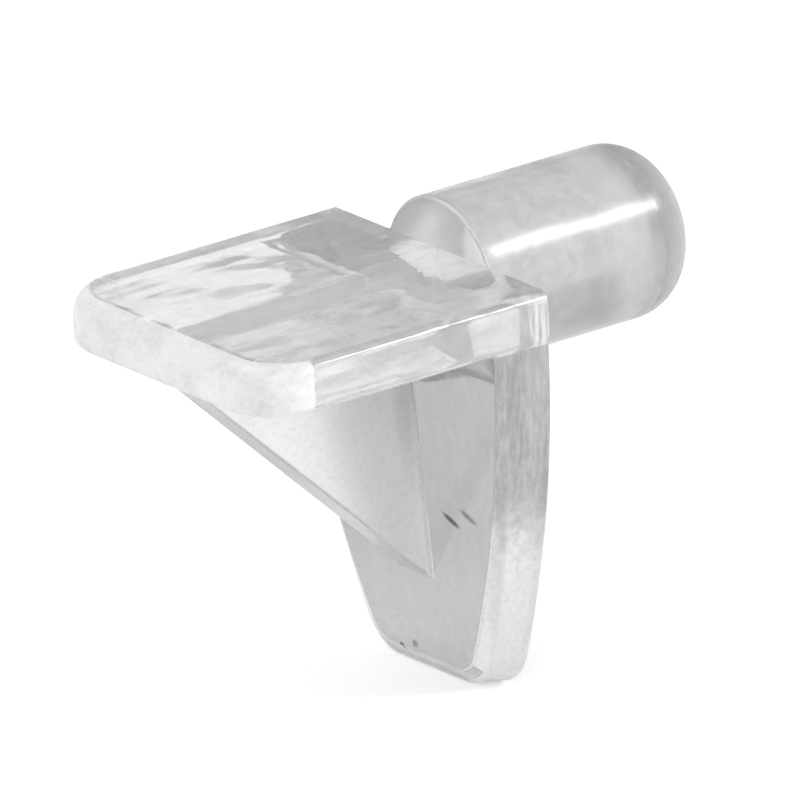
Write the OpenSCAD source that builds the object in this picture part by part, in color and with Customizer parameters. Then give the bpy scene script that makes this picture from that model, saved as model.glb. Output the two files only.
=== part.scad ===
// Shelf support pin, moulded in one piece.
// A round pin goes into the side of a cabinet, the plate lies flat against the wall of the cabinet,
// and the shelf rests on the ledge, which a web braces from below.
// X is the width, +Y points into the wall, +Z is up.
// The origin is on the pin's axis, in the plane of the plate's rear face.

/* [Pin] */
// Diameter of the pin
pin_d = 6.3; // [4.8:0.05:8]
// Length of the pin behind the plate
pin_len = 9.35; // [5:0.05:14]
// Radius that rounds the free end of the pin
pin_tip_r = 1.8; // [0.2:0.05:2.2]
// Radius that rounds the rim of the pin where it stands above the ledge
pin_rim_r = 0.15; // [0.05:0.01:0.4]

/* [Ledge] */
// Width of the ledge and of the top of the plate
ledge_w = 12.5; // [9:0.1:20]
// Depth of the ledge, from the plate's rear face to the nose
ledge_depth = 12.4; // [8:0.1:20]
// Thickness of the ledge
ledge_t = 1.95; // [1.2:0.05:3.5]
// Height of the ledge's top above the axis of the pin
ledge_rise = 1.3; // [0.5:0.02:2]
// Radius of the ledge's two front corners, seen from above
ledge_corner_r = 2.2; // [1:0.1:4]
// Radius that rounds the ledge's edges
ledge_edge_r = 0.4; // [0.1:0.05:0.6]

/* [Plate] */
// Height of the whole plate, from the ledge's top to the foot
plate_h = 15.35; // [11:0.05:24]
// Thickness of the plate just under the ledge
plate_top_t = 2.35; // [1.6:0.05:4]
// Thickness of the plate at its foot
plate_foot_t = 1.35; // [1:0.05:4]
// Radius of the long arc at each side of the plate
plate_side_r = 37; // [32:1:120]
// Radius of the two corners at the foot of the rear face
plate_corner_r = 1.9; // [1:0.1:4]
// Radius of the two corners at the foot of the front face
front_corner_r = 1.1; // [0.6:0.1:3]
// How much narrower the front face is than the rear face, at each side under the ledge
flank_top = 0.1; // [0:0.05:0.6]
// The same at the foot, where the flanks slope most
flank_foot = 1.25; // [0:0.05:1.8]
// Height by which the front face stops short of the foot
foot_edge = 0.5; // [0.1:0.05:0.8]
// Radius of the fillet between the plate and the underside of the ledge
plate_fillet_r = 1.2; // [0.9:0.05:2]

/* [Web] */
// Thickness of the web
web_t = 1.9; // [1.2:0.05:4]
// Distance from the nose of the ledge to the front end of the web
web_setback = 0.7; // [0.4:0.05:3]
// Height of the web's lower end above the foot of the plate
web_foot_gap = 3.75; // [1.5:0.05:6]
// Width of the slanting strips that fill the corners beside and under the web
web_strip = 0.2; // [0.1:0.05:0.5]

/* [Hidden] */
$fn = 96;
// Facets in a full circle of the plate's long side arcs, and of its corners
side_facets = 240;
corner_facets = 48;

// Overlap that lets one solid run into the next
bite = 0.5;
// Thickness of one of the layers between which the plate is stretched
layer_t = 0.02;
// Length that surely passes right through the part
far = 100;

pin_r = pin_d / 2;
half_w = ledge_w / 2;
nose_y = -ledge_depth;

// Heights, all from the axis of the pin
top_z = ledge_rise;
under_z = top_z - ledge_t;
foot_z = top_z - plate_h;
web_foot_z = foot_z + web_foot_gap;

// The plate thins towards its foot, so its front face leans
front_lean = atan((plate_top_t - plate_foot_t) / (under_z - foot_z));
// Each flank bends at a shoulder, at this share of the plate's thickness and of the flank's inset
shoulder_depth = 0.8;
shoulder_inset = 0.48;

// The fillet under the ledge fills a corner that is a little wider than a right angle.
// It ends at this distance from the corner, along either wall.
fillet_angle = 90 + front_lean;
fillet_reach = plate_fillet_r / tan(fillet_angle / 2);

// How far the ends of the fillet under the ledge stay inside the edges of the plate's front face
fillet_inset = 0.05;

// Thickness of the plate at a given height
function plate_t_at(z) = plate_foot_t + (z - foot_z) * tan(front_lean);
// Half the width of the plate's front face at a given height
function front_half_w(z) = half_w - flank_top
    - (flank_foot - flank_top) * (under_z - z) / (under_z - foot_z) - pow(under_z - z, 2) / (2 * plate_side_r);

// The web's slanting face runs from its front end, under the ledge, to its foot on the plate
web_front_y = nose_y + web_setback;
web_foot_y = -plate_t_at(web_foot_z);
slant = atan((web_foot_y - web_front_y) / (under_z - web_foot_z));

// What a rounded outer edge loses: a square corner less a quarter circle.
// The edge is at the origin, and the solid lies at negative x and y.
module edge_waste(r) {
    difference() {
        translate([-r, -r]) square(r + bite);
        translate([-r, -r]) circle(r);
        translate([-far - r, -far / 2]) square(far);
        translate([-far / 2, -far - r]) square(far);
    }
}

// What the filleted inner corner under the ledge gains.
// The corner is at the origin, one wall runs along +x, and the other leaves it at the fillet's angle.
module fillet_gain() {
    r = plate_fillet_r;
    difference() {
        polygon([
            [-bite, -bite], [fillet_reach, -bite], [fillet_reach, r],
            [fillet_reach - (r + bite) * sin(fillet_angle), r + (r + bite) * cos(fillet_angle)]
        ]);
        translate([fillet_reach, r]) circle(r);
    }
}

// A profile in x and z, carried along y, half to each side
module along_y(length) {
    rotate([90, 0, 0]) translate([0, 0, -length / 2]) linear_extrude(length) children();
}

// A profile in y and z, carried along x, half to each side
module along_x(length) {
    rotate([90, 0, 90]) translate([0, 0, -length / 2]) linear_extrude(length) children();
}

module both_sides() {
    children();
    mirror([1, 0, 0]) children();
}

// The ledge's shape from above
module ledge_plan() {
    difference() {
        translate([-half_w, nose_y]) square([ledge_w, ledge_depth]);
        both_sides()
            translate([half_w, nose_y]) mirror([0, 1])
                edge_waste(ledge_corner_r);
    }
}

// Waste along the rim of the ledge's plan, in the plane z = 0 of this module
module ledge_rim_waste() {
    corner_y = nose_y + ledge_corner_r;
    both_sides() {
        translate([half_w, 0, 0]) along_y(-2 * corner_y) edge_waste(ledge_edge_r);
        translate([half_w - ledge_corner_r, corner_y, 0])
            rotate([0, 0, -90]) rotate_extrude(angle = 90)
                translate([ledge_corner_r, 0]) edge_waste(ledge_edge_r);
    }
    translate([0, nose_y, 0]) along_x(ledge_w - 2 * ledge_corner_r) mirror([1, 0]) edge_waste(ledge_edge_r);
}

module ledge() {
    difference() {
        translate([0, 0, under_z]) linear_extrude(ledge_t) ledge_plan();
        translate([0, 0, top_z]) ledge_rim_waste();
        translate([0, 0, under_z]) mirror([0, 0, 1]) ledge_rim_waste();
    }
}

// The plate's outline from behind, in x and z, made narrower by an inset that grows towards the foot.
// Each side is an arc, and raising its widest point makes the foot narrower than the top.
module plate_outline(inset_top, inset_foot, rise, corner_r) {
    bottom_z = foot_z + rise;
    arc_rise = plate_side_r * (inset_foot - inset_top) / (under_z - foot_z);
    arc_z = under_z + arc_rise;
    arc_x = half_w - inset_top + pow(arc_rise, 2) / (2 * plate_side_r) - plate_side_r;
    corner_z = bottom_z + corner_r;
    corner_x = arc_x + sqrt(pow(plate_side_r - corner_r, 2) - pow(corner_z - arc_z, 2));
    corner_angle = asin((arc_z - corner_z) / (plate_side_r - corner_r));
    touch_x = arc_x + plate_side_r * cos(corner_angle);
    touch_z = arc_z - plate_side_r * sin(corner_angle);
    intersection() {
        translate([arc_x, arc_z]) circle(plate_side_r, $fn = side_facets);
        translate([-arc_x, arc_z]) circle(plate_side_r, $fn = side_facets);
        translate([-half_w, touch_z]) square([ledge_w, under_z + bite - touch_z]);
    }
    both_sides() translate([corner_x, corner_z]) circle(corner_r, $fn = corner_facets);
    polygon([
        [-touch_x, touch_z], [touch_x, touch_z], [corner_x, corner_z],
        [corner_x, bottom_z], [-corner_x, bottom_z], [-corner_x, corner_z]
    ]);
}

// Places a layer of the plate, at a share of its thickness in front of the rear face, and leaning with it
module at_depth(share) {
    lean = atan(tan(front_lean) * share);
    translate([0, -plate_foot_t * share, foot_z])
        rotate([lean, 0, 0])
            translate([0, 0, -foot_z]) along_y(layer_t) children();
}

// The plate is stretched from its rear outline over a shoulder to the narrower front face.
// Both faces are then cut flat.
module plate() {
    intersection() {
        hull() {
            at_depth(0) plate_outline(0, 0, 0, plate_corner_r);
            at_depth(shoulder_depth)
                plate_outline(flank_top * shoulder_inset, flank_foot * shoulder_inset, 0, plate_corner_r);
            at_depth(1) plate_outline(flank_top, flank_foot, foot_edge, front_corner_r);
        }
        along_x(far)
            polygon([
                [0, top_z], [-plate_t_at(top_z), top_z],
                [-plate_t_at(foot_z - bite), foot_z - bite], [0, foot_z - bite]
            ]);
    }
}

// The fillet under the ledge, almost as wide as the front face of the plate
module plate_fillet() {
    translate([0, -plate_top_t, under_z]) along_x(2 * front_half_w(under_z - fillet_reach) - 2 * fillet_inset)
        mirror([1, 0]) mirror([0, 1]) fillet_gain();
}

// The web from the side, in y and z, with a slanting strip in the corner under its lower end
module web_view() {
    polygon([
        [web_front_y, under_z], [web_front_y, under_z + bite], [-bite, under_z + bite],
        [-bite, web_foot_z - web_strip * cos(front_lean)],
        [web_foot_y + web_strip * sin(front_lean), web_foot_z - web_strip * cos(front_lean)],
        [web_foot_y - web_strip * sin(slant), web_foot_z + web_strip * cos(slant)]
    ]);
}

// The web in cross-section, standing on a wall that runs along x at y = 0, with a strip in each corner
module web_section() {
    strip_foot = web_t / 2 + web_strip;
    translate([-web_t / 2, -bite]) square([web_t, far]);
    polygon([[-strip_foot - bite, -bite], [strip_foot + bite, -bite], [0, strip_foot]]);
}

// The web, first as it stands on the plate and then as it hangs from the ledge
module web() {
    intersection() {
        translate([0, -plate_top_t, under_z]) rotate([front_lean, 0, 0])
            translate([0, 0, -far]) linear_extrude(2 * far) mirror([0, 1]) web_section();
        along_x(far) web_view();
    }
    intersection() {
        translate([0, 0, under_z]) rotate([90, 0, 0]) linear_extrude(far) mirror([0, 1]) web_section();
        along_x(far) web_view();
    }
}

module pin() {
    rotate([-90, 0, 0])
        rotate_extrude()
            difference() {
                square([pin_r, pin_len]);
                translate([pin_r, pin_len]) edge_waste(pin_tip_r);
                translate([pin_r, 0]) mirror([0, 1]) edge_waste(pin_rim_r);
            }
    // Below the ledge's top the pin runs into the plate with no rounded rim
    intersection() {
        translate([0, -bite, 0]) rotate([-90, 0, 0]) cylinder(h = bite + 2 * pin_rim_r, r = pin_r);
        translate([-far / 2, -far / 2, top_z - far]) cube(far);
    }
}

module support() {
    color([0.86, 0.88, 0.88, 0.6]) {
        ledge();
        plate();
        plate_fillet();
        web();
        pin();
    }
}

support();
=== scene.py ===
"""The looks of a clear shelf support: its moulded body, a plain studio and the camera.

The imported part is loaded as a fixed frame. The body stands for the part's one node, with the same walls,
softer edges and small fillets. Shapes are worked out in millimetres and put into the mesh in metres.
"""

import math
import typing

import bmesh
import bpy
import numpy as np
from mathutils import Matrix, Vector


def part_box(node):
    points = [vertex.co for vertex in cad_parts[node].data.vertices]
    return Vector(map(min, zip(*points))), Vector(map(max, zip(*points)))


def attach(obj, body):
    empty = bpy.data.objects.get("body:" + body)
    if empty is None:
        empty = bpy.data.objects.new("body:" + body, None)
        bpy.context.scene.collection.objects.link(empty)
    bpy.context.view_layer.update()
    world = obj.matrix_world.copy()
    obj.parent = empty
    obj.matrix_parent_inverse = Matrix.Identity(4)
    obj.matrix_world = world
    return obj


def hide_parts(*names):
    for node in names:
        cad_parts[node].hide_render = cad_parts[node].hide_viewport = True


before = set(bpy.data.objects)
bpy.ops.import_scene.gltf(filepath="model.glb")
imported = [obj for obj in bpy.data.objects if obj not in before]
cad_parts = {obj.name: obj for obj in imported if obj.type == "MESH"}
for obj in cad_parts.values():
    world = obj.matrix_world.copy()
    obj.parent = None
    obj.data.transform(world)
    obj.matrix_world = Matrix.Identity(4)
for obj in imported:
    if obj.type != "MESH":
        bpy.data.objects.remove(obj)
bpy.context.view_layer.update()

bl_info = {
    "name": "Clear Shelf Support",
    "version": (1, 0, 0),
    "blender": (4, 5, 0),
    "location": "3D View > Sidebar > Shelf Support",
    "description": "Builds the moulded body of a clear shelf support, with its studio",
    "category": "Object",
}

MM = 1000.0
NODE = "support"
BODY = "root"
LOW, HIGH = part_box(NODE)


# ---------------------------------------------------------------- sizes and colours


def length(name, description, default, **more):
    """A length property in metres."""
    return bpy.props.FloatProperty(
        name=name, description=description, default=default, min=0.0, unit="LENGTH",
        subtype="DISTANCE", precision=6, **more
    )


def angle(name, description, degrees):
    """An angle property, written here in degrees."""
    return bpy.props.FloatProperty(
        name=name, description=description, default=math.radians(degrees), unit="ROTATION", subtype="ANGLE"
    )


def share(name, description, default):
    """A plain factor from 0 to 1."""
    return bpy.props.FloatProperty(
        name=name, description=description, default=default, min=0.0, max=1.0, subtype="FACTOR"
    )


def number(name, description, default, low=0.0):
    """A plain number."""
    return bpy.props.FloatProperty(name=name, description=description, default=default, min=low)


def colour(name, description, default):
    """A colour property, as linear red, green and blue."""
    return bpy.props.FloatVectorProperty(
        name=name, description=description, default=default, size=3, min=0.0, max=1.0, subtype="COLOR"
    )


class SupportSizes(bpy.types.PropertyGroup):
    """Sizes of the moulding. The outer ones come from the frame."""

    pin_radius: length("Pin radius", "Radius of the pin", HIGH.z)
    pin_length: length("Pin length", "Length of the pin behind the plate", HIGH.y)
    pin_tip: length("Pin tip", "Radius that rounds the free end of the pin", 1.8e-3)
    pin_rim: length("Pin rim", "Radius that rounds the pin's near rim", 0.15e-3)

    half_width: length("Half width", "Half the width of the ledge", HIGH.x)
    ledge_depth: length("Ledge depth", "From the plate's rear face to the nose", -LOW.y)
    ledge_rise: length("Ledge rise", "Height of the ledge's top above the pin's axis", 1.3e-3)
    ledge_thickness: length("Ledge thickness", "Thickness of the ledge", 1.95e-3)
    ledge_corner: length("Ledge corner", "Radius of the ledge's front corners from above", 2.2e-3)
    ledge_edge: length("Ledge edge", "Radius that rounds the ledge's edges", 0.4e-3)
    nose_edge: length("Nose edge", "Larger radius that rounds the top of the nose", 0.9e-3)

    foot_depth: length("Foot depth", "Distance of the plate's foot below the pin's axis", -LOW.z)
    plate_top: length("Plate top", "Thickness of the plate under the ledge", 2.35e-3)
    plate_foot: length("Plate foot", "Thickness of the plate at its foot", 1.35e-3)
    plate_side: length("Plate side", "Radius of the long arc at each side", 37e-3)
    plate_corner: length("Plate corner", "Corner radius at the foot of the rear face", 1.9e-3)
    front_corner: length("Front corner", "Corner radius at the foot of the front face", 1.1e-3)
    flank_top: length("Flank top", "Inset of the front face under the ledge", 0.1e-3)
    flank_foot: length("Flank foot", "Inset of the front face at the foot", 1.25e-3)
    foot_edge: length("Foot edge", "Height by which the front face stops short of the foot", 0.5e-3)
    shoulder_depth: share("Shoulder depth", "Share of the thickness at which the flanks bend", 0.8)
    shoulder_inset: share("Shoulder inset", "Share of the inset that is reached there", 0.48)
    plate_edge: length("Plate edge", "Radius that softens the plate's edges", 0.1e-3)
    plate_fillet: length("Plate fillet", "Radius of the fillet under the ledge", 1.2e-3)

    web_thickness: length("Web thickness", "Thickness of the web", 1.9e-3)
    web_setback: length("Web setback", "From the nose to the front end of the web", 0.7e-3)
    web_gap: length("Web gap", "Height of the web's lower end above the foot", 3.75e-3)
    web_edge: length("Web edge", "Radius that softens the web's edges", 0.12e-3)
    web_fillet: length("Web fillet", "Radius of the small fillets beside the web", 0.2e-3)


class SupportFinish(bpy.types.PropertyGroup):
    """Colour and surface of the clear plastic."""

    tone: share("Tone", "Share of light that the plastic passes", 0.97)
    clear: share("Clear", "Share of a clear surface that lets light through", 0.8)
    milky: share("Milky", "The same share where the plastic is milky or brushed", 0.4)
    bend: number("Index", "Index of refraction", 1.56, 1.0)
    gloss: share("Roughness", "Roughness of the polished faces", 0.1)
    haze: share("Haze", "Roughness added where the surface is frosted", 0.3)
    round_frost: share("Round frost", "Frost on the nose, the front corners and the pin's tip", 0.9)
    flank_frost: share("Flank frost", "Frost of the brushed upper flanks", 0.7)
    web_frost: share("Web frost", "Frost of the web", 0.8)
    pin_frost: share("Pin frost", "Frost of the pin's side", 0.5)
    # Painted shade: the grey of the plate's front face stands in for what the clear plastic mirrors
    face_painted_shade: share("Face tone", "Tone of the plate's front face", 0.5)
    face_foot_painted_shade: share("Face foot", "Tone of the front face near its foot", 0.55)
    # Painted shade: the grey of the upper flanks stands in for what the clear plastic mirrors; the grain
    # only varies it
    flank_painted_shade: share("Flank tone", "Tone of the upper flanks, where the grain is darkest", 0.36)
    flank_foot: share("Flank foot", "Lowest tone of the frosted flanks near the foot", 0.92)
    nose_tone: share("Nose tone", "Lowest tone of the ledge's nose", 0.9)
    corner_tone: share("Corner tone", "Lowest tone of the ledge's front corners", 0.8)
    web_tone: share("Web tone", "Lowest tone of the web's sides", 0.94)
    # Painted shade: the web's slanting face, which faces down, is painted darker than the sides
    slant_painted_shade: share("Slant tone", "Lowest tone of the web's slanting face", 0.68)
    # Painted shade: the grey of the pin's side stands in for what the clear plastic mirrors
    pin_painted_shade: share("Pin tone", "Lowest tone of the pin's side", 0.54)
    end_tone: share("Pin end tone", "Tone of the pin's near end", 0.9)
    tip_tone: share("Pin tip tone", "Tone of the pin's rounded tip", 0.7)
    mark_tone: share("Mark tone", "Tone of the scratch and the speck", 0.03)
    wave_height: length("Wave height", "Height of the slow waves in the faces", 0.08e-3)
    fan_height: length("Fan height", "Height of the flow marks that fan out on the ledge", 0.12e-3)
    fan_count: number("Fan count", "Flow marks on the ledge for each radian round the pin's root", 4.0)


class SupportStudio(bpy.types.PropertyGroup):
    """Camera, lamps and floor."""

    azimuth: angle("Azimuth", "Turn of the view round the part", 53.57)
    elevation: angle("Elevation", "Height of the view above the part", 19.97)
    roll: angle("Roll", "Turn of the picture in its own plane", -2.61)
    picture_width: length("Picture width", "Width that the picture shows at the origin", 27.91e-3)
    aim_right: number("Aim right", "Middle of the picture, to the right of the origin, in mm", -1.39, -50.0)
    aim_up: number("Aim up", "Middle of the picture, above the origin, in mm", -4.08, -50.0)
    distance: length("Distance", "Distance of the camera", 1.0)
    floor_colour: colour("Floor", "Colour of the floor", (0.8, 0.8, 0.8))
    floor_reach: length("Floor reach", "From the middle of the floor to its edge", 0.6)
    floor_glow: share("Floor glow", "Light that the floor adds to a straight or mirrored view of it", 0.3)
    sky_high: share("Sky above", "Grey of the studio overhead", 0.75)
    sky_low: share("Sky below", "Grey of the studio near the floor", 1.0)
    sky_wall: share("Sky walls", "Share of light from the two darker walls", 0.6)


# ---------------------------------------------------------------- meshes from arrays of points


def ring_solid(name, rings):
    """A closed solid from rings of points, shaped (rings, points, 3).

    Each ring is joined to the next by quads, and the first and the last ring are closed by flat caps.
    """
    count, around = rings.shape[:2]
    index = np.arange(count * around).reshape(count, around)
    beside = np.roll(index, -1, axis=1)
    quads = np.stack([index[:-1], beside[:-1], beside[1:], index[1:]], axis=-1).reshape(-1, 4)
    faces = quads.tolist() + [index[0][::-1].tolist(), index[-1].tolist()]
    mesh = bpy.data.meshes.new(name)
    mesh.from_pydata(rings.reshape(-1, 3).tolist(), [], faces)
    work = bmesh.new()
    work.from_mesh(mesh)
    bmesh.ops.remove_doubles(work, verts=work.verts, dist=1e-5)
    bmesh.ops.recalc_face_normals(work, faces=work.faces)
    work.to_mesh(mesh)
    work.free()
    return bpy.data.objects.new(name, mesh)


def arc(start, end, steps):
    """Cosines and sines along an arc, both ends included, angles in degrees."""
    turn = np.radians(np.linspace(start, end, steps + 1))
    return np.cos(turn), np.sin(turn)


def edge_inset(place, half, radius):
    """Inset at each place across a slab of the given half thickness whose edges are rounded.

    It is 0 in the middle. Past the start of the rounding it is the radius less the half chord of a circle.
    """
    past = np.clip(np.abs(place) - (half - radius), 0, radius)
    return radius - np.sqrt(radius**2 - past**2)


def rounded_ends(half, radius, steps=5):
    """Places across a slab from minus half to plus half, close together where its edges are rounded."""
    place = half - radius * (1 - arc(90, 0, steps)[0])
    return np.concatenate([-place[::-1], place])


def pin_shape(s):
    """The pin, a profile turned round the y axis.

    The profile starts on the near face, goes round the small rim, runs along the side and round the tip.
    A point at radius r and place y, turned by an angle, lies at (r cos, y, r sin).
    """
    cos, sin = arc(90, 0, 6)
    rim_r = s.pin_radius - s.pin_rim * (1 - cos)
    rim_y = s.pin_rim * (1 - sin)
    tip_cos, tip_sin = arc(0, 90, 18)
    tip_r = s.pin_radius - s.pin_tip * (1 - tip_cos)
    tip_y = s.pin_length - s.pin_tip * (1 - tip_sin)
    side = np.linspace(rim_y[-1], tip_y[0], 20)[1:-1]
    radius = np.concatenate([rim_r, np.full(side.shape, s.pin_radius), tip_r])[:, None]
    place = np.concatenate([rim_y, side, tip_y])[:, None]
    turn = np.linspace(0, 2 * np.pi, 192, endpoint=False)[None, :]
    rings = np.stack([radius * np.cos(turn), place + 0 * turn, radius * np.sin(turn)], axis=-1)
    return ring_solid("pin", rings)


def pin_root_shape(s, bite=0.5):
    """The lower part of the pin's root, where it runs into the plate with no rounded rim.

    A slice of a cylinder: the circle is cut off level with the ledge's top, less a hair.
    """
    radius = s.pin_radius - 0.004
    level = s.ledge_rise - 0.02
    start = math.degrees(math.asin(level / radius))
    cos, sin = arc(180 - start, 360 + start, 150)
    ring = np.stack([radius * cos, np.zeros_like(cos), radius * sin], axis=-1)
    places = np.array([-bite, 2 * s.pin_rim])[:, None]
    rings = np.repeat(ring[None], 2, axis=0)
    rings[..., 1] = places
    return ring_solid("pin root", rings)


def ledge_shape(s):
    """The ledge: its plan from above, drawn in by the inset of a rounded edge, ring above ring.

    For an inset d the sides stand at the half width less d, the nose at the depth less d, and the two
    corners are arcs of the corner radius less d about the same centres. Round each corner the inset
    passes from that of the sides to that of the nose, whose top is rounder. The rear end stays in the
    plane y = 0.
    """
    half = s.ledge_thickness / 2
    place = np.union1d(rounded_ends(half, s.ledge_edge, 8), rounded_ends(half, s.nose_edge, 16)[17:])
    inset = edge_inset(place, half, s.ledge_edge)[:, None]
    nose_inset = np.where(place > 0, edge_inset(place, half, s.nose_edge), inset[:, 0])[:, None]
    level = (place + s.ledge_rise - half)[:, None]
    cos, sin = arc(0, -90, 28)
    corner = s.ledge_corner - inset - (nose_inset - inset) * -sin[None, :]
    centre_x = s.half_width - s.ledge_corner
    centre_y = s.ledge_corner - s.ledge_depth
    run = np.linspace(0, 1, 24)[None, :-1]
    side_x = s.half_width - inset + 0 * run
    side_y = centre_y * run + 0 * inset
    across = np.linspace(1, 0, 12)[None, 1:]
    half_x = np.concatenate([side_x, centre_x + corner * cos, centre_x * across + 0 * inset], axis=1)
    nose_y = nose_inset - s.ledge_depth + 0 * across
    half_y = np.concatenate([side_y, centre_y + corner * sin, nose_y], axis=1)
    x = np.concatenate([half_x, -half_x[:, -2::-1]], axis=1)
    y = np.concatenate([half_y, half_y[:, -2::-1]], axis=1)
    return ring_solid("ledge", np.stack([x, y, level + 0 * x], axis=-1))


def plate_shape(s, bite=0.5):
    """The plate: outlines of its rear, its shoulder and its narrower front, one behind the other.

    Each outline has a long arc at either side, two corner arcs and a straight foot. At a share of the
    plate's thickness the outline is drawn in by that share's inset, which grows towards the foot.
    A quarter circle softens the rear and the front edge.
    """
    under = s.ledge_rise - s.ledge_thickness
    height = under + s.foot_depth
    cos, sin = arc(0, 90, 4)
    soft = s.plate_edge
    rear = np.stack([0 * cos, soft * (1 - cos), soft * (1 - sin)], axis=-1)
    front = np.stack([0 * cos + 1, -soft * (1 - cos), soft * (1 - sin)], axis=-1)[::-1]
    around = s.shoulder_depth + np.array([-0.05, -0.03, -0.015, 0, 0.015, 0.03, 0.05])
    inner = np.concatenate([np.linspace(0.1, s.shoulder_depth - 0.08, 6), around])
    middle = np.stack([inner, 0 * inner, 0 * inner], axis=-1)
    depth, shift, draw = np.concatenate([rear, middle, front]).T[:, :, None]

    def shouldered(at, knee, end):
        """Rises in a straight line to the knee, then to the end, with the bend spread over a short way."""
        spread = 0.04
        knots, levels = [0, s.shoulder_depth, 1], [0, knee, end]
        before, here, after = (np.interp(at + move, knots, levels) for move in (-spread, 0, spread))
        return np.where((at > 0.05) & (at < 0.95), (before + 2 * here + after) / 4, here)

    inset_top = s.flank_top * shouldered(depth, s.shoulder_inset, 1) + 0.005
    inset_foot = s.flank_foot * shouldered(depth, s.shoulder_inset, 1)
    foot_z = -s.foot_depth + s.foot_edge * shouldered(depth, 0, 1)
    corner = s.plate_corner + (s.front_corner - s.plate_corner) * shouldered(depth, 0, 1)
    rise = s.plate_side * (inset_foot - inset_top) / height
    arc_z = under + rise
    arc_x = s.half_width - inset_top + rise**2 / (2 * s.plate_side) - s.plate_side
    corner_z = foot_z + corner
    corner_x = arc_x + np.sqrt((s.plate_side - corner) ** 2 - (corner_z - arc_z) ** 2)
    meet = np.arcsin((arc_z - corner_z) / (s.plate_side - corner))
    top = np.arcsin((arc_z - under - bite) / s.plate_side)
    run = np.linspace(0, 1, 60)[None, :]
    side_turn = top + (meet - top) * run
    side_x = arc_x + (s.plate_side - draw) * np.cos(side_turn)
    side_z = arc_z - (s.plate_side - draw) * np.sin(side_turn)
    bend = np.linspace(0, 1, 20)[None, 1:]
    corner_turn = meet + (np.pi / 2 - meet) * bend
    bend_x = corner_x + (corner - draw) * np.cos(corner_turn)
    bend_z = corner_z - (corner - draw) * np.sin(corner_turn)
    across = np.linspace(1, 0, 10)[None, 1:]
    half_x = np.concatenate([side_x, bend_x, corner_x * across], axis=1)
    half_z = np.concatenate([side_z, bend_z, foot_z + draw + 0 * across], axis=1)
    x = np.concatenate([half_x, -half_x[:, -2::-1]], axis=1)
    z = np.concatenate([half_z, half_z[:, -2::-1]], axis=1)
    lean = (s.plate_top - s.plate_foot) / height
    thickness = s.plate_foot + (z + s.foot_depth) * lean
    y = -(thickness * depth + shift)
    return ring_solid("plate", np.stack([x, y, z], axis=-1))


def front_face(s, z):
    """Thickness of the plate and half the width of its front face at a height."""
    under = s.ledge_rise - s.ledge_thickness
    height = under + s.foot_depth
    thickness = s.plate_foot + (z + s.foot_depth) * (s.plate_top - s.plate_foot) / height
    drop = under - z
    inset = s.flank_top + (s.flank_foot - s.flank_top) * drop / height
    return thickness, s.half_width - inset - drop**2 / (2 * s.plate_side)


def lean_of(s):
    """Angle by which the plate's front face leans."""
    return math.atan((s.plate_top - s.plate_foot) / (s.ledge_rise - s.ledge_thickness + s.foot_depth))


def plate_fillet_shape(s, sink=0.004, bite=0.4):
    """The fillet between the plate and the ledge's underside, a hollow arc carried along x.

    The arc's radius is a hair larger than its distance from the two walls, so that the surfaces cross.
    """
    under = s.ledge_rise - s.ledge_thickness
    lean = lean_of(s)
    radius = s.plate_fillet
    reach = radius / math.tan((math.pi / 2 + lean) / 2)
    half = front_face(s, under - reach)[1] - 0.05
    centre = np.array([-s.plate_top - reach, under - radius])
    turn = np.linspace(math.pi / 2, lean, 25)
    hollow = centre + (radius + sink) * np.stack([np.cos(turn), np.sin(turn)], axis=-1)
    behind, above = hollow[-1, 0] + bite, under + bite
    inner = np.array([[behind, hollow[-1, 1]], [behind, above], [hollow[0, 0], above]])
    profile = np.concatenate([hollow, inner])
    x = np.array([-half, half])[:, None] + 0 * profile[None, :, 0]
    y, z = 0 * x + profile[None, :, 0], 0 * x + profile[None, :, 1]
    return ring_solid("plate fillet", np.stack([x, y, z], axis=-1))


def web_line(s):
    """Front end and foot of the web's slanting face, in y and z, with its direction and inward normal."""
    under = s.ledge_rise - s.ledge_thickness
    foot_z = s.web_gap - s.foot_depth
    start = np.array([s.web_setback - s.ledge_depth, under])
    end = np.array([-front_face(s, foot_z)[0], foot_z])
    along = (end - start) / np.linalg.norm(end - start)
    return start, end, along, np.array([-along[1], along[0]])


def web_shape(s, bite=0.3):
    """The web: its side view, ring beside ring across x.

    Near each side the slanting face is drawn in along a quarter circle, which softens its long edges.
    """
    start, end, along, inward = web_line(s)
    place = rounded_ends(s.web_thickness / 2, s.web_edge, 4)
    inset = edge_inset(place, s.web_thickness / 2, s.web_edge)[:, None, None]
    run = np.linspace(-bite, np.linalg.norm(end - start) + bite, 30)[None, :, None]
    face = start + along * run + inward * inset
    inside = np.array([[-bite, end[1] - bite], [-bite, start[1] + bite]])[None] + 0 * inset
    view = np.concatenate([face, inside], axis=1)
    x = place[:, None] + 0 * view[..., 0]
    return ring_solid("web", np.stack([x, view[..., 0], view[..., 1]], axis=-1))


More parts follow.
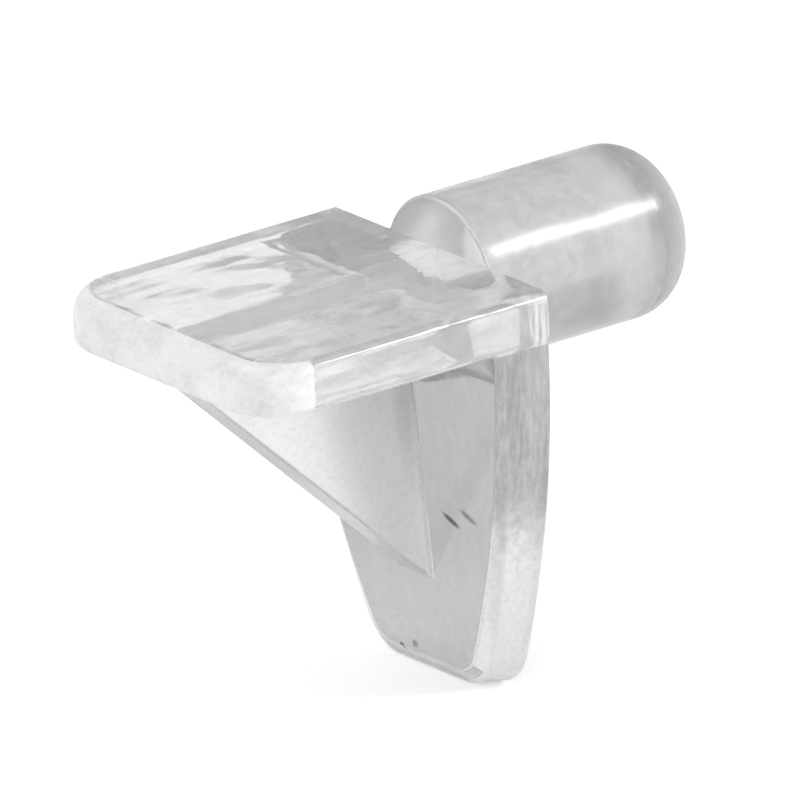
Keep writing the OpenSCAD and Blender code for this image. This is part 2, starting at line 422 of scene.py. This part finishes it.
def web_fillet_shape(s, side, sink=0.004, bite=0.3):
    """The small fillet down one side of the web, a hollow arc carried along the corner's path.

    The path runs under the ledge, round the plate's fillet and down the plate. A profile point at a
    height above the wall is moved along the wall's normal, and both ends lie in the slanting face.
    """
    under = s.ledge_rise - s.ledge_thickness
    lean = lean_of(s)
    radius = s.web_fillet
    reach = s.plate_fillet / math.tan((math.pi / 2 + lean) / 2)
    centre = np.array([-s.plate_top - reach, under - s.plate_fillet])
    cos, sin = arc(270, 180, 8)
    half = s.web_thickness / 2
    hollow = np.stack([half + radius + (radius + sink) * cos, radius + (radius + sink) * sin], axis=-1)
    inner = np.array([[half - bite, radius + 0.0], [half - bite, -bite], [half + radius, -bite]])
    profile = np.concatenate([hollow, inner])
    turn = np.linspace(math.pi / 2, lean, 17)
    normal = -np.stack([np.cos(turn), np.sin(turn)], axis=-1)
    wall = centre - s.plate_fillet * normal
    start, end, _, inward = web_line(s)
    wall = np.concatenate([start[None], wall, end[None]])
    normal = np.concatenate([normal[:1], normal, normal[-1:]])
    view = wall[:, None, :] + normal[:, None, :] * profile[None, :, 1:]
    for ring, direction in ((0, np.array([-1.0, 0.0])), (-1, np.array([math.sin(lean), -math.cos(lean)]))):
        slope = direction @ inward
        gap = (view[ring] - start) @ inward - 0.003
        view[ring] = view[ring] - direction * (gap / slope)[:, None]
    x = side * (profile[None, :, 0] + 0 * view[..., 0])
    return ring_solid("web fillet", np.stack([x, view[..., 0], view[..., 1]], axis=-1))


def joined(pieces, name):
    """One closed mesh: the exact union of the given solids, in metres."""
    scene = bpy.context.scene
    group = bpy.data.collections.new("parts of " + name)
    scene.collection.children.link(group)
    first = pieces[0]
    scene.collection.objects.link(first)
    for piece in pieces[1:]:
        group.objects.link(piece)
    union = first.modifiers.new("union", "BOOLEAN")
    union.operation = "UNION"
    union.operand_type = "COLLECTION"
    union.collection = group
    union.solver = "EXACT"
    bpy.context.view_layer.update()
    solved = first.evaluated_get(bpy.context.evaluated_depsgraph_get())
    mesh = bpy.data.meshes.new_from_object(solved)
    mesh.name = name
    first.modifiers.clear()
    for piece in pieces:
        bpy.data.objects.remove(piece)
    bpy.data.collections.remove(group)
    mesh.transform(Matrix.Scale(1 / MM, 4))
    return mesh


def in_millimetres(sizes):
    """The sizes as plain numbers in millimetres, with the shares left as they are."""
    plain = type("Sizes", (), {})()
    for key in sizes.bl_rna.properties.keys():
        if key in ("rna_type", "name"):
            continue
        value = getattr(sizes, key)
        setattr(plain, key, value if key.startswith("shoulder") else value * MM)
    return plain


# ---------------------------------------------------------------- materials


class Nodes:
    """Short ways to add and join shader nodes."""

    def __init__(self, tree):
        self.tree = tree

    def add(self, kind, **values):
        """Adds a node with the given settings."""
        node = self.tree.nodes.new(kind)
        for key, value in values.items():
            setattr(node, key, value)
        return node

    def feed(self, socket, source):
        """Joins a socket to another, or sets it to a plain value."""
        if isinstance(source, bpy.types.NodeSocket):
            self.tree.links.new(source, socket)
        else:
            socket.default_value = source

    def math(self, operation, *sources):
        """One step of arithmetic on sockets or plain values."""
        node = self.add("ShaderNodeMath", operation=operation)
        for socket, source in zip(node.inputs, sources):
            self.feed(socket, source)
        return node.outputs[0]

    def noise(self, vector, scale, detail, roughness):
        """Soft noise from 0 to 1."""
        node = self.add("ShaderNodeTexNoise")
        self.feed(node.inputs["Vector"], vector)
        self.feed(node.inputs["Scale"], scale)
        self.feed(node.inputs["Detail"], detail)
        self.feed(node.inputs["Roughness"], roughness)
        return node.outputs["Fac"]

    def stretched(self, vector, factors):
        """A vector with its three parts multiplied by three factors."""
        node = self.add("ShaderNodeVectorMath", operation="MULTIPLY")
        self.feed(node.inputs[0], vector)
        node.inputs[1].default_value = factors
        return node.outputs[0]

    def grey(self, level):
        """A grey colour of the given level."""
        node = self.add("ShaderNodeCombineColor")
        for socket in node.inputs:
            self.feed(socket, level)
        return node.outputs[0]

    def ramp(self, value, low, high, out_low=0.0, out_high=1.0):
        """Passes smoothly from one value to another while the input goes from low to high."""
        node = self.add("ShaderNodeMapRange", clamp=True, interpolation_type="SMOOTHSTEP")
        for socket, source in zip(node.inputs, (value, low, high, out_low, out_high)):
            self.feed(socket, source)
        return node.outputs[0]

    def above(self, value, level, soft):
        """1 where the value is above a level, with a soft step."""
        return self.ramp(value, level - soft, level + soft)

    def below(self, value, level, soft):
        """1 where the value is below a level, with a soft step."""
        return self.ramp(value, level - soft, level + soft, 1.0, 0.0)

    def most_of(self, *masks):
        """The largest of several masks."""
        most = masks[0]
        for mask in masks[1:]:
            most = self.math("MAXIMUM", most, mask)
        return most

    def split(self, vector):
        """The three parts of a vector."""
        node = self.add("ShaderNodeSeparateXYZ")
        self.feed(node.inputs[0], vector)
        return tuple(node.outputs)

    def shift(self, value, mask, target):
        """Moves a value towards a target where the mask is 1."""
        node = self.add("ShaderNodeMix", data_type="FLOAT", clamp_factor=True)
        self.feed(node.inputs["Factor"], mask)
        self.feed(node.inputs["A"], value)
        self.feed(node.inputs["B"], target)
        return node.outputs["Result"]


class Spot(typing.NamedTuple):
    """An oval mark on one face, in mm: middle, turn of its long axis in degrees and half sizes."""

    name: str
    middle: tuple
    turn: float
    half_long: float
    half_wide: float


# On the plate's front, in x and z
FRONT_MARKS = (
    Spot("scratch", (2.5, -7.7), -20, 0.5, 0.12),
    Spot("speck", (-1.3, -13.5), 0, 0.15, 0.15),
)

# A noise mostly keeps to the middle of 0 to 1, so its pattern is spread out between these two levels
SLOW_NOISE = (0.35, 0.65)
FINE_NOISE = (0.3, 0.7)


def value_group(name, inputs, outputs):
    """A new node group with the named sockets, its node helper, and its input and output nodes."""
    tree = bpy.data.node_groups.new(name, "ShaderNodeTree")
    for title, kind in inputs:
        tree.interface.new_socket(title, in_out="INPUT", socket_type=kind)
    for title in outputs:
        tree.interface.new_socket(title, in_out="OUTPUT", socket_type="NodeSocketFloat")
    nodes = Nodes(tree)
    return tree, nodes, nodes.add("NodeGroupInput").outputs, nodes.add("NodeGroupOutput").inputs


def moulding_group(finish):
    """What moulding leaves all over: fine speckle, slow blotches, upright grain and slow waves.

    Speckle, blotch and grain are patterns from 0 to 1. The height is that of the waves, in metres, which
    run along the ledge and the pin and down the plate. The blotches take the tone from the low to the high
    one and add a little frost. The fleck is a factor for the tone that follows the speckle.
    """
    tree, nodes, source, target = value_group(
        "moulding",
        [("Place", "NodeSocketVector"), ("Low Tone", "NodeSocketFloat"), ("High Tone", "NodeSocketFloat")],
        ["Speckle", "Blotch", "Grain", "Height", "Tone", "Frost", "Fleck"],
    )
    place = source["Place"]
    speckle = nodes.noise(place, 5.0, 2.0, 0.7)
    blotch = nodes.noise(place, 1.5, 2.0, 0.6)
    waves = nodes.noise(nodes.stretched(place, (0.9, 0.22, 0.35)), 1.0, 1.0, 0.4)
    nodes.feed(target["Speckle"], speckle)
    nodes.feed(target["Blotch"], blotch)
    nodes.feed(target["Grain"], nodes.noise(nodes.stretched(place, (7.0, 7.0, 0.9)), 1.0, 2.0, 0.6))
    nodes.feed(target["Height"], nodes.math("MULTIPLY", waves, finish.wave_height))
    nodes.feed(target["Tone"], nodes.ramp(blotch, *SLOW_NOISE, source["Low Tone"], source["High Tone"]))
    nodes.feed(target["Frost"], nodes.ramp(blotch, 0.5, 0.7, 0.0, 0.3))
    nodes.feed(target["Fleck"], nodes.ramp(speckle, *FINE_NOISE, 0.94, 1.06))
    return tree


class Skin:
    """The material of one stretch of the moulding: its coordinates in mm, its tone, frost and height.

    The tone is the share of light that passes and the frost adds roughness. Each is moved place by place
    by soft masks. Gloss, glints and what is mirrored inside come from the shader, the lamps and the sky,
    except that the grey of the plate's front face, the upper flanks, the web's slanting face and the pin's
    side is painted shade, which stands in for what the clear plastic mirrors.
    The low and the high tone are the clear plastic's own, where none are given.
    """

    def __init__(self, name, finish, moulding, tones=None):
        self.finish = finish
        self.material = bpy.data.materials.new(name)
        self.material.use_nodes = True
        self.nodes = nodes = Nodes(self.material.node_tree)
        lookup = nodes.add("ShaderNodeTexCoord")
        place = nodes.stretched(lookup.outputs["Object"], (MM, MM, MM))
        self.place = place
        self.x, self.y, self.z = nodes.split(place)
        self.face_x, self.face_y, self.face_z = nodes.split(lookup.outputs["Normal"])
        marks = nodes.add("ShaderNodeGroup", node_tree=moulding)
        for socket, value in zip(marks.inputs, (place, *(tones or (finish.tone - 0.1, finish.tone)))):
            nodes.feed(socket, value)
        self.speckle, self.blotch, self.grain, self.height, self.tone, self.frost, self.fleck = marks.outputs

    def paint(self, mask, tone=None, frost=None):
        """Moves each value that is given towards its target where the mask is 1."""
        for channel, target in (("tone", tone), ("frost", frost)):
            if target is not None:
                setattr(self, channel, self.nodes.shift(getattr(self, channel), mask, target))

    def marks(self, marks, first, second, where, tone):
        """Paints oval marks on one face, whose two coordinates and mask are given.

        A place's distance from the middle, along and across the long axis, is measured in half sizes. The
        mark is full where the sum of their squares is well under 1.
        """
        nodes = self.nodes
        masks = []
        for mark in marks:
            cos, sin = math.cos(math.radians(mark.turn)), math.sin(math.radians(mark.turn))
            right = nodes.math("SUBTRACT", first, mark.middle[0])
            up = nodes.math("SUBTRACT", second, mark.middle[1])
            squares = []
            for across, rise, half in ((cos, sin, mark.half_long), (-sin, cos, mark.half_wide)):
                sideways = nodes.math("MULTIPLY", right, across / half)
                reach = nodes.math("MULTIPLY_ADD", up, rise / half, sideways)
                squares.append(nodes.math("MULTIPLY", reach, reach))
            masks.append(nodes.ramp(nodes.math("ADD", *squares), 0.25, 1.6, 1.0, 0.0))
        self.paint(nodes.math("MULTIPLY", nodes.most_of(*masks), where), tone=tone)

    def finished(self, clear, relief=1.0):
        """Joins the values to the shader and gives the material, with its clear share and its relief."""
        nodes, finish = self.nodes, self.finish
        shader = self.material.node_tree.nodes["Principled BSDF"]
        shader.inputs["IOR"].default_value = finish.bend
        shader.inputs["Transmission Weight"].default_value = clear
        level = nodes.math("MULTIPLY", self.tone, self.fleck)
        nodes.feed(shader.inputs["Base Color"], nodes.grey(level))
        roughness = nodes.math("MULTIPLY_ADD", self.frost, finish.haze, finish.gloss)
        nodes.feed(shader.inputs["Roughness"], roughness)
        bump = nodes.add("ShaderNodeBump")
        bump.inputs["Strength"].default_value = 1.0
        bump.inputs["Distance"].default_value = relief
        nodes.feed(bump.inputs["Height"], self.height)
        nodes.feed(shader.inputs["Normal"], bump.outputs["Normal"])
        return self.material


def plate_plastic(finish, s, moulding):
    """The plate: a front face painted grey as shade, with two marks."""
    skin = Skin("clear_plastic_plate_painted_shade", finish, moulding)
    nodes = skin.nodes
    on_front = nodes.below(skin.face_y, -0.9, 0.05)

    # Painted shade: the front face is painted grey, a little paler towards the foot, standing in for what
    # the clear plastic mirrors, with upright grain in it
    grain = nodes.ramp(skin.grain, *FINE_NOISE, 0.0, 0.03)
    level = nodes.ramp(skin.z, -13.0, -8.0, finish.face_foot_painted_shade, finish.face_painted_shade)
    skin.paint(on_front, tone=nodes.math("ADD", grain, level))
    skin.marks(FRONT_MARKS, skin.x, skin.z, on_front, tone=finish.mark_tone)
    return skin.finished(finish.clear, 0.5)


def flank_plastic(finish, s, moulding):
    """The plate's flanks: brushed, painted grey above as shade that stands in for what the clear plastic
    mirrors, and frosted white towards the foot.
    """
    skin = Skin("brushed_flank_painted_shade", finish, moulding)
    nodes, grain = skin.nodes, skin.grain
    # Painted shade: the upper flanks are painted grey, with grain in it, standing in for what the clear
    # plastic mirrors
    brushed = nodes.ramp(grain, *FINE_NOISE, finish.flank_painted_shade, finish.flank_painted_shade + 0.14)
    skin.paint(1.0, tone=brushed, frost=finish.flank_frost)
    uneven = nodes.math("MULTIPLY_ADD", skin.blotch, 3.0, nodes.math("MULTIPLY_ADD", grain, 3.0, skin.z))
    frosted = nodes.ramp(grain, *FINE_NOISE, finish.flank_foot, 1.0)
    skin.paint(nodes.below(uneven, -4.6, 2.0), tone=frosted, frost=1.0)
    return skin.finished(finish.milky)


def nose_plastic(finish, s, moulding):
    """The ledge's nose, milky from the light that its rounded end scatters."""
    skin = Skin("milky_plastic_nose", finish, moulding, (finish.nose_tone, 1.0))
    skin.paint(1.0, frost=finish.round_frost)
    return skin.finished(finish.milky)


def web_plastic(finish, s, moulding):
    """The web: milky sides and a slanting face, which faces down and is painted darker as shade."""
    skin = Skin("clear_plastic_web_painted_shade", finish, moulding)
    nodes = skin.nodes
    # Painted shade: the slanting face, found by its downward normal, is painted darker than the sides
    slanting = nodes.below(skin.face_z, -0.5, 0.1)
    for mask, tone in ((1.0, finish.web_tone), (slanting, finish.slant_painted_shade)):
        speckled = nodes.ramp(skin.speckle, *FINE_NOISE, tone, tone + 0.06)
        skin.paint(mask, tone=speckled, frost=finish.web_frost)
    return skin.finished(finish.clear)


def ledge_plastic(finish, s, moulding):
    """The ledge: flow marks that fan out from the pin's root, and frosted front corners."""
    skin = Skin("clear_plastic_ledge", finish, moulding)
    nodes = skin.nodes

    # Flow marks: their height varies with the bearing from the root, and slowly with the distance
    ahead = nodes.math("MULTIPLY", skin.y, -1.0)
    bearing = nodes.math("ARCTAN2", skin.x, ahead)
    squares = nodes.math("MULTIPLY_ADD", skin.x, skin.x, nodes.math("MULTIPLY", ahead, ahead))
    away = nodes.math("SQRT", squares)
    fan = nodes.add("ShaderNodeCombineXYZ")
    nodes.feed(fan.inputs[0], nodes.math("MULTIPLY", bearing, finish.fan_count))
    nodes.feed(fan.inputs[1], nodes.math("MULTIPLY", away, 0.3))
    rays = nodes.noise(fan.outputs[0], 1.0, 1.0, 0.5)
    skin.height = nodes.math("MULTIPLY_ADD", rays, finish.fan_height, skin.height)

    aside = nodes.above(nodes.math("ABSOLUTE", skin.x), s.half_width - 1.65, 0.6)
    corner = nodes.math("MULTIPLY", aside, nodes.below(skin.y, s.ledge_corner + 0.2 - s.ledge_depth, 1.0))
    grains = nodes.ramp(nodes.noise(skin.place, 5.0, 1.0, 0.6), 0.45, 0.65, finish.corner_tone, 1.0)
    skin.paint(corner, tone=grains, frost=finish.round_frost)
    return skin.finished(finish.clear)


def pin_plastic(finish, s, moulding):
    """The pin: a little frosted, most of all on its rounded tip, and clearer on its near end. Its side is
    painted grey as shade, standing in for what the clear plastic mirrors.
    """
    # Painted shade: the pin's side is painted grey, standing in for what the clear plastic mirrors
    skin = Skin("clear_plastic_pin_painted_shade", finish, moulding, (finish.pin_painted_shade, finish.pin_painted_shade + 0.08))
    nodes = skin.nodes
    skin.paint(1.0, frost=finish.pin_frost)
    skin.paint(nodes.below(skin.face_y, -0.5, 0.2), tone=finish.end_tone)
    tip = nodes.above(skin.y, s.pin_length - s.pin_tip + 0.4, 0.9)
    skin.paint(tip, tone=finish.tip_tone, frost=finish.round_frost)
    return skin.finished(finish.clear)


def stretches(mesh, s):
    """Which stretch of the moulding each face lies on, as a place in PLASTICS.

    The choice goes by the middle of each face, and on the plate and the nose by the way it faces.
    """
    middle, normal = np.empty((2, 3 * len(mesh.polygons)))
    mesh.polygons.foreach_get("center", middle)
    mesh.polygons.foreach_get("normal", normal)
    x, y, z = middle.reshape(-1, 3).T * MM
    face_x, _, face_z = normal.reshape(-1, 3).T
    under = s.ledge_rise - s.ledge_thickness
    slope = (s.plate_top - s.plate_foot) / (under + s.foot_depth)
    ahead = y + s.plate_foot + (z + s.foot_depth) * slope
    hair = 0.02
    on_pin = (y > hair) | ((y > -hair) & (z > s.ledge_rise + hair))
    on_ledge = z > under - hair
    on_web = (ahead < -hair) & (np.abs(x) < s.web_thickness / 2 + 1.2 * s.web_fillet)
    on_nose = on_ledge & (y < s.ledge_corner - s.ledge_depth) & (np.abs(face_z) < 0.97)
    on_flank = np.abs(face_x) > 0.2
    choices = {
        pin_plastic: on_pin,
        nose_plastic: on_nose,
        ledge_plastic: on_ledge,
        web_plastic: on_web,
        flank_plastic: on_flank,
    }
    places = [PLASTICS.index(plastic) for plastic in choices]
    return np.select(list(choices.values()), places, PLASTICS.index(plate_plastic))


PLASTICS = (ledge_plastic, nose_plastic, plate_plastic, flank_plastic, web_plastic, pin_plastic)


def floor_paint(studio):
    """Matt floor that glows a little where it is seen, mirrored or seen through, so it shows white."""
    material = bpy.data.materials.new("floor_paint")
    material.use_nodes = True
    nodes = Nodes(material.node_tree)
    shader = material.node_tree.nodes["Principled BSDF"]
    shader.inputs["Base Color"].default_value = (*studio.floor_colour, 1.0)
    shader.inputs["Roughness"].default_value = 1.0
    shader.inputs["Specular IOR Level"].default_value = 0.0
    path = nodes.add("ShaderNodeLightPath")
    seen = nodes.math("MAXIMUM", path.outputs["Is Camera Ray"], path.outputs["Is Glossy Ray"])
    seen = nodes.math("MAXIMUM", seen, path.outputs["Is Transmission Ray"])
    shader.inputs["Emission Color"].default_value = (1.0, 1.0, 1.0, 1.0)
    nodes.feed(shader.inputs["Emission Strength"], nodes.math("MULTIPLY", seen, studio.floor_glow))
    return material


# ---------------------------------------------------------------- operators


class SUPPORT_OT_body(bpy.types.Operator):
    """Make the moulded body: pin, ledge, plate, web and fillets as one clear solid"""

    bl_idname = "shelf_support.body"
    bl_label = "Moulded Body"

    def execute(self, context):
        s = in_millimetres(context.scene.support_sizes)
        pieces = [
            ledge_shape(s), plate_shape(s), plate_fillet_shape(s), web_shape(s),
            web_fillet_shape(s, 1), web_fillet_shape(s, -1), pin_shape(s), pin_root_shape(s),
        ]
        mesh = joined(pieces, "support_body")
        if len(mesh.polygons) < 1000:
            raise RuntimeError("the union of the body's solids came out empty")
        mesh.shade_smooth()
        mesh.set_sharp_from_angle(angle=math.radians(28))
        body = bpy.data.objects.new("support_body", mesh)
        context.scene.collection.objects.link(body)
        even = body.modifiers.new("even_normals", "WEIGHTED_NORMAL")
        even.keep_sharp = True
        even.weight = 80
        finish = context.scene.support_finish
        moulding = moulding_group(finish)
        for plastic in PLASTICS:
            mesh.materials.append(plastic(finish, s, moulding))
        mesh.polygons.foreach_set("material_index", stretches(mesh, s))
        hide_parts(NODE)
        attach(body, BODY)
        return {"FINISHED"}


class SUPPORT_OT_stage(bpy.types.Operator):
    """Set up the floor, the lamps, the sky and the camera"""

    bl_idname = "shelf_support.stage"
    bl_label = "Studio"

    def execute(self, context):
        studio = context.scene.support_studio
        self.floor(context, studio)
        self.sky(context, studio)
        self.lamps(context)
        self.camera(context, studio)
        context.scene.view_settings.view_transform = "Standard"
        return {"FINISHED"}

    def floor(self, context, studio):
        """A wide flat floor under the part's foot."""
        places = np.linspace(-studio.floor_reach, studio.floor_reach, 25)
        across, along = np.meshgrid(places, places, indexing="ij")
        points = np.stack([across, along, LOW.z + 0 * across], axis=-1)
        index = np.arange(across.size).reshape(across.shape)
        corners = [index[:-1, :-1], index[1:, :-1], index[1:, 1:], index[:-1, 1:]]
        quads = np.stack(corners, axis=-1).reshape(-1, 4)
        mesh = bpy.data.meshes.new("floor")
        mesh.from_pydata(points.reshape(-1, 3).tolist(), [], quads.tolist())
        mesh.materials.append(floor_paint(studio))
        floor = bpy.data.objects.new("floor", mesh)
        context.scene.collection.objects.link(floor)

    def sky(self, context, studio):
        """A plain grey studio, paler towards the floor, with two broad darker walls that face each other."""
        world = bpy.data.worlds.new("studio")
        world.use_nodes = True
        nodes = Nodes(world.node_tree)
        back = world.node_tree.nodes["Background"]
        side, front, height = nodes.split(nodes.add("ShaderNodeTexCoord").outputs["Generated"])
        level = nodes.ramp(height, 0.0, 0.8, studio.sky_low, studio.sky_high)
        facing = nodes.math("MULTIPLY_ADD", side, 0.8, nodes.math("MULTIPLY", front, 0.6))
        wall = nodes.math("ABSOLUTE", facing)
        level = nodes.math("MULTIPLY", level, nodes.ramp(wall, 0.25, 0.5, studio.sky_wall, 1.0))
        nodes.feed(back.inputs["Color"], nodes.grey(level))
        context.scene.world = world

    def lamps(self, context):
        """Three soft lamps: the key at the right front, a broad one above the left, and one behind."""
        middle = Vector([(a + b) / 2 for a, b in zip(LOW, HIGH)])
        for name, way, size, watts in (
            ("key_lamp", (0.45, -0.35, 0.3), 0.25, 1.3),
            ("broad_lamp", (-0.3, -0.25, 0.5), 0.3, 0.8),
            ("rim_lamp", (0.3, 0.3, 0.28), 0.1, 0.8),
        ):
            light = bpy.data.lights.new(name, "AREA")
            light.shape = "SQUARE"
            light.size = size
            light.energy = watts
            lamp = bpy.data.objects.new(name, light)
            lamp.location = middle + Vector(way)
            lamp.rotation_euler = Vector(way).to_track_quat("Z", "Y").to_euler()
            context.scene.collection.objects.link(lamp)

    def camera(self, context, studio):
        """The camera looks along the view's direction with a long lens, so that lines hardly converge."""
        cos_a, sin_a = math.cos(studio.azimuth), math.sin(studio.azimuth)
        cos_e, sin_e = math.cos(studio.elevation), math.sin(studio.elevation)
        toward = Vector((sin_a * cos_e, -cos_a * cos_e, sin_e))
        level = Vector((cos_a, sin_a, 0.0))
        upright = toward.cross(level)
        cos_r, sin_r = math.cos(studio.roll), math.sin(studio.roll)
        right = cos_r * level + sin_r * upright
        up = -sin_r * level + cos_r * upright
        lens = bpy.data.cameras.new("camera")
        lens.sensor_width = 36.0
        lens.lens = lens.sensor_width * studio.distance / studio.picture_width
        lens.clip_start = 0.05
        lens.clip_end = 20.0
        camera = bpy.data.objects.new("camera", lens)
        place = (right * studio.aim_right + up * studio.aim_up) / MM + toward * studio.distance
        camera.matrix_world = Matrix.Translation(place) @ Matrix((right, up, toward)).transposed().to_4x4()
        context.scene.collection.objects.link(camera)
        context.scene.camera = camera


class SUPPORT_PT_panel(bpy.types.Panel):
    """Lists the steps that build the support and its studio"""

    bl_idname = "SUPPORT_PT_panel"
    bl_label = "Shelf Support"
    bl_space_type = "VIEW_3D"
    bl_region_type = "UI"
    bl_category = "Shelf Support"

    def draw(self, context):
        column = self.layout.column()
        for step in STEPS:
            column.operator(step.bl_idname)


STEPS = (SUPPORT_OT_body, SUPPORT_OT_stage)
GROUPS = (
    ("support_sizes", SupportSizes),
    ("support_finish", SupportFinish),
    ("support_studio", SupportStudio),
)


def register():
    for name, group in GROUPS:
        bpy.utils.register_class(group)
        setattr(bpy.types.Scene, name, bpy.props.PointerProperty(type=group))
    for part in (*STEPS, SUPPORT_PT_panel):
        bpy.utils.register_class(part)


def unregister():
    for part in (SUPPORT_PT_panel, *reversed(STEPS)):
        bpy.utils.unregister_class(part)
    for name, group in reversed(GROUPS):
        delattr(bpy.types.Scene, name)
        bpy.utils.unregister_class(group)


def main():
    register()
    bpy.ops.shelf_support.body()
    bpy.ops.shelf_support.stage()


if __name__ == "__main__":
    main()
